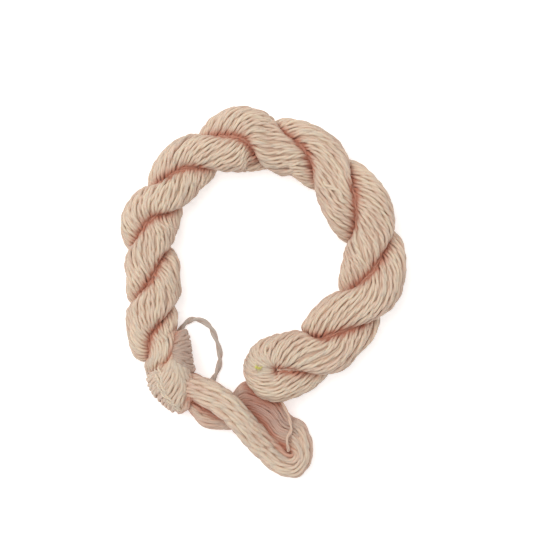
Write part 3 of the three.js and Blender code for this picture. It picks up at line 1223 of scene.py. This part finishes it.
class Signal:
    """A shader socket that Python's operators work on, each adding its Math node."""

    def __init__(self, tree: bpy.types.NodeTree, socket: bpy.types.NodeSocket) -> None:
        """Wraps one output socket of the tree."""
        self.tree = tree
        self.socket = socket

    def math(self, operation: str, *others: "Signal | float", clamp: bool = False) -> "Signal":
        """This value and the others through one Math node."""
        made = self.tree.nodes.new("ShaderNodeMath")
        made.operation = operation
        made.use_clamp = clamp
        for place, value in enumerate((self, *others)):
            connect(self.tree, made.inputs[place], value)
        return Signal(self.tree, made.outputs[0])

    def __add__(self, other: "Signal | float") -> "Signal":
        """The sum."""
        return self.math("ADD", other)

    __radd__ = __add__

    def __mul__(self, other: "Signal | float") -> "Signal":
        """The product."""
        return self.math("MULTIPLY", other)

    __rmul__ = __mul__

    def __sub__(self, other: "Signal | float") -> "Signal":
        """The difference."""
        return self.math("SUBTRACT", other)

    def __rsub__(self, other: float) -> "Signal":
        """A number less this value."""
        return (self * -1.0).math("ADD", other)

    def __pow__(self, other: float) -> "Signal":
        """This value to a power."""
        return self.math("POWER", other)

    def clamp(self) -> "Signal":
        """This value kept between 0 and 1."""
        return self.math("ADD", 0.0, clamp=True)


def connect(tree: bpy.types.NodeTree, socket: bpy.types.NodeSocket, value: object) -> None:
    """Links a signal to a socket, or sets the socket to a plain value."""
    if isinstance(value, Signal):
        tree.links.new(value.socket, socket)
    else:
        socket.default_value = value


@dataclass
class Shader:
    """A material's node tree while it is being written.

    Attributes:
        name: the material's name.
    """

    name: str

    def __post_init__(self) -> None:
        """Makes the material with its shader and output."""
        self.material = bpy.data.materials.new(self.name)
        self.material.use_nodes = True
        self.tree = self.material.node_tree
        self.tree.nodes.clear()
        self.cloth = self.tree.nodes.new("ShaderNodeBsdfPrincipled")
        output = self.tree.nodes.new("ShaderNodeOutputMaterial")
        self.tree.links.new(self.cloth.outputs[0], output.inputs[0])

    def node(self, kind: str, settings: dict, inputs: dict, output: int | str = 0) -> Signal:
        """Adds any node.

        Args:
            kind: the node's type.
            settings: its settings by name; a ramp's stops are places and colours.
            inputs: values or signals by socket name or number.
            output: which output to give back.
        Returns:
            The chosen output.
        """
        made = self.tree.nodes.new(kind)
        for name, value in settings.items():
            if name == "stops":
                ramp = made.color_ramp.elements
                while len(ramp) < len(value):
                    ramp.new(0.5)
                for stop, (place, colour) in zip(ramp, value):
                    stop.position, stop.color = place, (*colour, 1.0)
            else:
                setattr(made, name, value)
        for name, value in inputs.items():
            connect(self.tree, made.inputs[name], value)
        return Signal(self.tree, made.outputs[output])

    def blend(self, share: Signal | float, first: object, second: object, how: str = "MIX") -> Signal:
        """Two colours mixed by a share."""
        made = self.tree.nodes.new("ShaderNodeMix")
        made.data_type = "RGBA"
        made.blend_type = how
        sockets = [s for s in made.inputs if s.type == "RGBA"]
        connect(self.tree, made.inputs[0], share)
        for socket, value in zip(sockets, (first, second)):
            connect(self.tree, socket, value if isinstance(value, Signal) else (*value, 1.0))
        return Signal(self.tree, next(s for s in made.outputs if s.type == "RGBA"))

    def number(self, name: str) -> Signal:
        """A number kept at the mesh's points."""
        return self.node("ShaderNodeAttribute", {"attribute_name": name}, {}, "Fac")

    def set(self, **values: object) -> None:
        """Sets or links the shader's own sockets, named with underscores for spaces."""
        for name, value in values.items():
            connect(self.tree, self.cloth.inputs[name.replace("_", " ")], value)


@dataclass(frozen=True)
class YarnFinish:
    """Soft peach wool with a little silk.

    Attributes:
        name: the finish's name.
        light: the yarn's own colour, which its upper side keeps where the painted shade of its lower side
            does not reach.
        pink: colour that some yarns lean to.
        dark: colour of the painted shade on a yarn's lower side, between its plies and in gaps, and of its
            darker fibres.
        crevice_shade: colour of the warm painted shade deep in a hollow and near the grooves.
        rose_shade: colour of the pinkish painted shade on turns that lie low in shade.
        side_shade: colour of the painted greyer shade on turns that face the side or the ground.
        roughness: roughness of the fibres.
        sheen: strength of the bloom of loose fibre ends.
        bump: height of the fibres in millimetres.
        stretch: how fine the fibres are along the yarn, round it and from yarn to yarn.
        cloud: how fine the patches of tint are along the yarn and from yarn to yarn.
        own_tint: how far each yarn has a tint of its own.
        patch_tint: how far the patches change it.
        underside_shade: how far a yarn's lower side is darkened with painted shade.
        valley_shade: how far the line between the plies is darkened with painted shade.
        streak: how far the fibres are light and dark.
        hollow_shade: how far a hollow takes the colour of its painted shade.
    """

    name: str
    light: tuple = (0.805, 0.67, 0.52)
    pink: tuple = (0.735, 0.553, 0.447)
    dark: tuple = (0.55, 0.315, 0.23)
    crevice_shade: tuple = (0.54, 0.225, 0.15)
    rose_shade: tuple = (0.50, 0.26, 0.215)
    side_shade: tuple = (0.49, 0.345, 0.285)
    roughness: float = 0.55
    sheen: float = 0.06
    bump: float = 0.04
    stretch: tuple = (0.35, 8.0, 7.3)
    cloud: tuple = (0.06, 3.1)
    own_tint: float = 0.6
    patch_tint: float = 0.8
    underside_shade: float = 0.48
    valley_shade: float = 0.45
    streak: float = 0.8
    hollow_shade: float = 0.95

    def material(self) -> bpy.types.Material:
        """The finish as a material.

        Fibres are noise drawn out along the map's first number. Each yarn has a tint of its own,
        from the whole part of the map's second number, and the part after the point tells where
        the two plies meet.
        """
        shader = Shader(self.name)
        place = shader.node("ShaderNodeUVMap", {"uv_map": "along_and_round"}, {})
        along = shader.node("ShaderNodeSeparateXYZ", {}, {0: place}, "X")
        across = shader.node("ShaderNodeSeparateXYZ", {}, {0: place}, "Y")
        which = across.math("FLOOR")
        tint = shader.node("ShaderNodeTexWhiteNoise", {"noise_dimensions": "1D"}, {"W": which})
        long, fine, other = self.stretch
        drawn = shader.node("ShaderNodeCombineXYZ", {},
                            {0: along * long, 1: across * fine, 2: which * other})
        fibre = shader.node("ShaderNodeTexNoise", {}, {"Vector": drawn, "Scale": 1.0, "Detail": 3.0})
        patch = shader.node("ShaderNodeCombineXYZ", {},
                            {0: along * self.cloud[0], 1: which * self.cloud[1], 2: 0.0})
        cloud = shader.node("ShaderNodeTexNoise", {}, {"Vector": patch, "Scale": 1.0, "Detail": 2.0})
        lean = (tint * self.own_tint + (cloud - 0.4) * self.patch_tint).clamp()
        hue = shader.blend(lean, self.light, self.pink)
        # Painted shade along the line between the plies and on each yarn's lower side, with the real light
        # and dark of the fibres.
        valley_shade = (1.0 - (across * math.tau).math("COSINE").math("ABSOLUTE")) ** 3.0
        under = shader.number("inward") ** 1.6 * self.underside_shade
        low = (under + valley_shade * self.valley_shade + (fibre - 0.5) * self.streak).clamp()
        body = shader.blend(low, hue, self.dark)
        # Painted greyer shade on turns that face the side or the ground.
        shaded = shader.blend(shader.number("edge"), body, self.side_shade)
        # Pinkish painted shade on turns that lie low in shade.
        rosy = shader.blend(shader.number("rosy"), shaded, self.rose_shade)
        # Warm painted shade deep in hollows and near the grooves.
        colour = shader.blend((shader.number("hollow") * self.hollow_shade).clamp(), rosy, self.crevice_shade)
        height = shader.node("ShaderNodeBump", {},
                             {"Strength": 0.6, "Distance": self.bump * MM, "Height": fibre})
        shader.set(Base_Color=colour, Roughness=self.roughness, Normal=height,
                   Sheen_Weight=self.sheen, Sheen_Roughness=0.5, Specular_IOR_Level=0.3,
                   Subsurface_Weight=0.25, Subsurface_Radius=(1.0, 0.65, 0.5), Subsurface_Scale=0.0009)
        return shader.material


@dataclass
class Studio:
    """The camera straight above, a pale floor and soft light.

    Attributes:
        middle: the point that the camera looks down on, in millimetres.
        span: width of the picture at the hank's middle height.
        level: that height.
        distance: distance of the camera from it.
        sensor: width of the camera's sensor.
        lamps: name, place in metres, power in watts and size in metres of each lamp.
        room: brightness of the room.
        glow: brightness of the floor itself.
    """

    middle: tuple = (0.7, 7.0)
    span: float = 149.24
    level: float = 7.0
    distance: float = 500.0
    sensor: float = 36.0
    lamps: tuple = (
        ("overhead", (-0.41, 0.34, 1.05), 7.7, 0.9),
        ("fill", (0.8, -0.5, 0.9), 1.0, 1.0),
    )
    room: float = 0.5
    glow: float = 0.46

    def camera(self) -> None:
        """A long lens, so that the hank is seen nearly without perspective."""
        lens = bpy.data.cameras.new("camera")
        lens.sensor_width = self.sensor
        lens.lens = self.sensor * self.distance / self.span
        lens.clip_start, lens.clip_end = 0.01, 10.0
        made = bpy.data.objects.new("camera", lens)
        made.location = (self.middle[0] * MM, self.middle[1] * MM, (self.level + self.distance) * MM)
        bpy.context.scene.collection.objects.link(made)
        bpy.context.scene.camera = made

    def light(self) -> None:
        """Soft lamps that face the hank, in a pale room."""
        for name, place, power, size in self.lamps:
            lamp = bpy.data.lights.new(name, "AREA")
            lamp.energy, lamp.size, lamp.color = power, size, (1.0, 0.985, 0.96)
            made = bpy.data.objects.new(name, lamp)
            made.location = place
            made.rotation_mode = "QUATERNION"
            made.rotation_quaternion = (-Vector(place)).to_track_quat("-Z", "Y")
            bpy.context.scene.collection.objects.link(made)
        world = bpy.data.worlds.new("room")
        world.use_nodes = True
        background = world.node_tree.nodes["Background"]
        background.inputs["Color"].default_value = (1.0, 0.99, 0.975, 1.0)
        background.inputs["Strength"].default_value = self.room
        bpy.context.scene.world = world
        bpy.context.scene.view_settings.view_transform = "Standard"

    def floor(self) -> None:
        """A plain pale floor."""
        mesh = bpy.data.meshes.new("floor")
        half = 2.0
        corners = [(-half, -half, 0), (half, -half, 0), (half, half, 0), (-half, half, 0)]
        mesh.from_pydata(corners, [], [(0, 1, 2, 3)])
        made = bpy.data.objects.new("floor", mesh)
        bpy.context.scene.collection.objects.link(made)
        shader = Shader("pale_floor")
        shader.set(Base_Color=(0.93, 0.93, 0.93, 1.0), Roughness=0.9, Specular_IOR_Level=0.0,
                   Emission_Color=(1.0, 1.0, 1.0, 1.0), Emission_Strength=self.glow)
        mesh.materials.append(shader.material)


@dataclass
class Hank:
    """The whole hank, piece by piece.

    Attributes:
        rope: the twisted skein.
        collar: the end loop round the rope's end.
        tail: the rest of the end loop.
        groups: number of pieces that the skein's turns are shared over.
        seed: seed of the random numbers.
        fleck: where a bit of lint is caught, in millimetres.
        tone: how far the warm painted shade at the bottom of a groove spreads onto the turns near it.
        groove_shade: least share of warm painted shade on the groove turns, and what a way out upwards
            adds.
        groove_size: their thickness as a share of the usual.
        root: how far out on a yarn loose fibres start, in millimetres.
    """

    rope: Rope = field(default_factory=Rope)
    collar: Collar = field(default_factory=Collar)
    tail: Tail = field(default_factory=Tail)
    groups: int = 4
    seed: int = 7
    fleck: tuple = (-1.7, -20.9, 13.1)
    tone: float = 0.5
    groove_shade: tuple = (0.45, 0.5)
    groove_size: float = 0.8
    root: float = 0.45

    def __post_init__(self) -> None:
        """Makes the finishes and works out how full the space is."""
        self.rng = np.random.default_rng(self.seed)
        self.finish = YarnFinish("wool_silk_yarn").material()
        self.bulk = Bulk()
        for part in (self.rope, self.collar, self.tail):
            part.fill(self.bulk)
        self.bulk.average()
        # Where the grooves lie, from which warm painted shade spreads onto the turns near them.
        line, way = self.rope.groove_lines()
        self.glow = Bulk(spread=2)
        self.glow.fill((line + 0.6 * way)[way[..., 2] > 0.3])
        self.glow.average()

    def wear(self, piece: bpy.types.Object, finish: bpy.types.Material, node: str) -> None:
        """Dresses a piece, lets it ride and hides the solid it stands for."""
        piece.data.materials.append(finish)
        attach(piece, "root")
        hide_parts(node)
        LOG.info("%s: %d faces", piece.name, len(piece.data.polygons))

    def lay(self, surface: Surface, shape: Callable, curves: list, depth: float, yarn: Yarn,
            first: int, table: Rows | None = None, side_shade: float = 0.0) -> None:
        """Lays a yarn along each table of controls.

        Args:
            surface: where the yarns go.
            shape: gives points from places, angles in radians and a depth.
            curves: the tables of controls.
            depth: depth of the yarns' middles.
            yarn: the kind of yarn.
            first: the number of the first yarn.
            table: rows with a size and a share of pinkish painted shade for each place, if these vary.
            side_shade: how far they take the painted greyer shade of turns that face the side.
        """
        for i, controls in enumerate(curves):
            line, outward, place = trace(shape, controls, depth)
            hollow, size, rosy = self.deep(line, outward), self.rng.uniform(0.9, 1.08), 0.0
            if table:
                row = table.at(place)
                size, rosy = size * row["size"], row["rosy"]
            yarn.lay(surface, line[None], outward[None], hollow[None], self.rng,
                     first + i, size, rosy, side_shade)

    def loop(self) -> None:
        """The slack turn, in a darker copy of the yarn's colours that paints shade on it."""
        # Darker colours than the other yarns: painted shade for the turn that lies low on the ground.
        finish = YarnFinish("shaded_slack_yarn", light=(0.53, 0.465, 0.41), pink=(0.485, 0.41, 0.365))
        self.wear(LooseLoop().build(self.rng), finish.material(), "loose_loop")

    def skein(self) -> None:
        """The rope's turns in a few pieces, with the one that strays, and fibre ends all over."""
        rope, yarn = self.rope, Yarn()
        centres, outward = rope.yarn_lines(self.rng)
        hollow = self.deep(centres, outward)
        for g in range(self.groups):
            pick = slice(g * rope.yarns // self.groups, (g + 1) * rope.yarns // self.groups)
            surface = Surface(f"skein_turns_{g + 1}")
            yarn.lay(surface, centres[pick], outward[pick], hollow[pick], self.rng, pick.start)
            if g == 0:
                self.lay(surface, self.on_first, [rope.stray], rope.depth, yarn, First.STRAY)
            self.wear(surface.piece(), self.finish, "hank")
        line, way = rope.groove_lines()
        # The groove turns get warm painted shade, more away from the fold and where they face up.
        from_fold = np.clip(np.linspace(0, rope.rows.last, line.shape[1]) / 1.5, 0.35, 1)
        least, more = self.groove_shade
        hollow_shade = from_fold * (least + more * np.clip(way[..., 2], 0, 1))
        surface = Surface("groove_turns")
        yarn.lay(surface, line, way, hollow_shade, self.rng, First.GROOVES, self.groove_size)
        self.wear(surface.piece(), self.finish, "hank")
        bare = (hollow < 0.4) & (centres[..., 2] > 1.0)
        surface = Surface("loose_fibres")
        roots = centres + self.root * outward
        Fibres(2400, 1.3, 0.02).grow(surface, roots[bare], outward[bare], self.rng)
        self.wear(surface.piece(), self.finish, "hank")

    def deep(self, points: np.ndarray, outward: np.ndarray) -> np.ndarray:
        """How strongly a turn takes the warm painted shade of hollows and of the grooves, from 0 to 1."""
        return np.clip(self.bulk.hollow(points, outward) + self.tone * self.glow.near(points), 0, 1)

    def on_first(self, places: np.ndarray, angle: np.ndarray, inset: np.ndarray) -> np.ndarray:
        """Points on the rope's first strand."""
        return self.rope.on_strand(places, angle, Strand.FIRST, inset)

    def ends(self) -> None:
        """The collar's and the tail's yarns."""
        collar, tail = self.collar, self.tail
        surface = Surface("collar_yarns")
        for curves, number, side_shade in collar.curves(self.rng):
            self.lay(surface, collar.on, curves, collar.lay_depth, collar.yarn, number, side_shade=side_shade)
        border = [collar.laid(np.array(points), 0.0) for points in collar.border]
        self.lay(surface, collar.on, border, collar.border_depth, collar.border_yarn, First.BORDER)
        self.wear(surface.piece(), self.finish, "hank")
        surface = Surface("tail_yarns")
        curves = tail.curves(self.rng)
        self.lay(surface, tail.on, curves, tail.depth, tail.yarn, First.TAIL, tail.rows)
        curves = tail.fine_curves(self.rng)
        self.lay(surface, tail.on, curves, tail.fine_depth, tail.fine_yarn, First.FINE, tail.rows)
        line = tail.thin.line()[None]
        level, hollow = np.broadcast_to(UP, line.shape), np.zeros(line.shape[:2])
        # The thin yarn lies in the shade of the hollow, which is painted pinkish on it.
        tail.thin_yarn.lay(surface, line, level, hollow, self.rng, First.THIN, rosy=0.3)
        self.wear(surface.piece(), self.finish, "hank")

    def inside(self) -> None:
        """The turns under the outer ones."""
        surface = Surface("inner_turns")
        self.rope.inner_turns(surface, self.bulk)
        self.collar.inner_turns(surface, self.bulk, First.UNDER_COLLAR)
        self.tail.inner_turns(surface, self.bulk, First.UNDER_TAIL)
        self.wear(surface.piece(), self.finish, "hank")

    def lint(self) -> None:
        """A bit of lint caught at the fold."""
        spots = np.array(self.fleck) + np.linspace(-0.45, 0.45, 4)[:, None] * np.array([1.0, -0.2, 0.0])
        finish = YarnFinish("lint", light=(0.92, 0.9, 0.22), pink=(0.9, 0.85, 0.22),
                            dark=(0.8, 0.74, 0.2))
        surface = Surface("caught_lint")
        Fibres(34, 0.6, 0.16, spread=3.0).grow(surface, spots, UP + 0 * spots, self.rng)
        self.wear(surface.piece(), finish.material(), "hank")


def main() -> None:
    """Builds the camera, the hank and the room in order."""
    logging.basicConfig(level=logging.INFO, format="%(message)s")
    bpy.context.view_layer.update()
    studio = Studio()
    studio.camera()
    hank = Hank()
    hank.loop()
    hank.skein()
    hank.ends()
    hank.inside()
    hank.lint()
    studio.light()
    studio.floor()


if __name__ == "__main__":
    main()
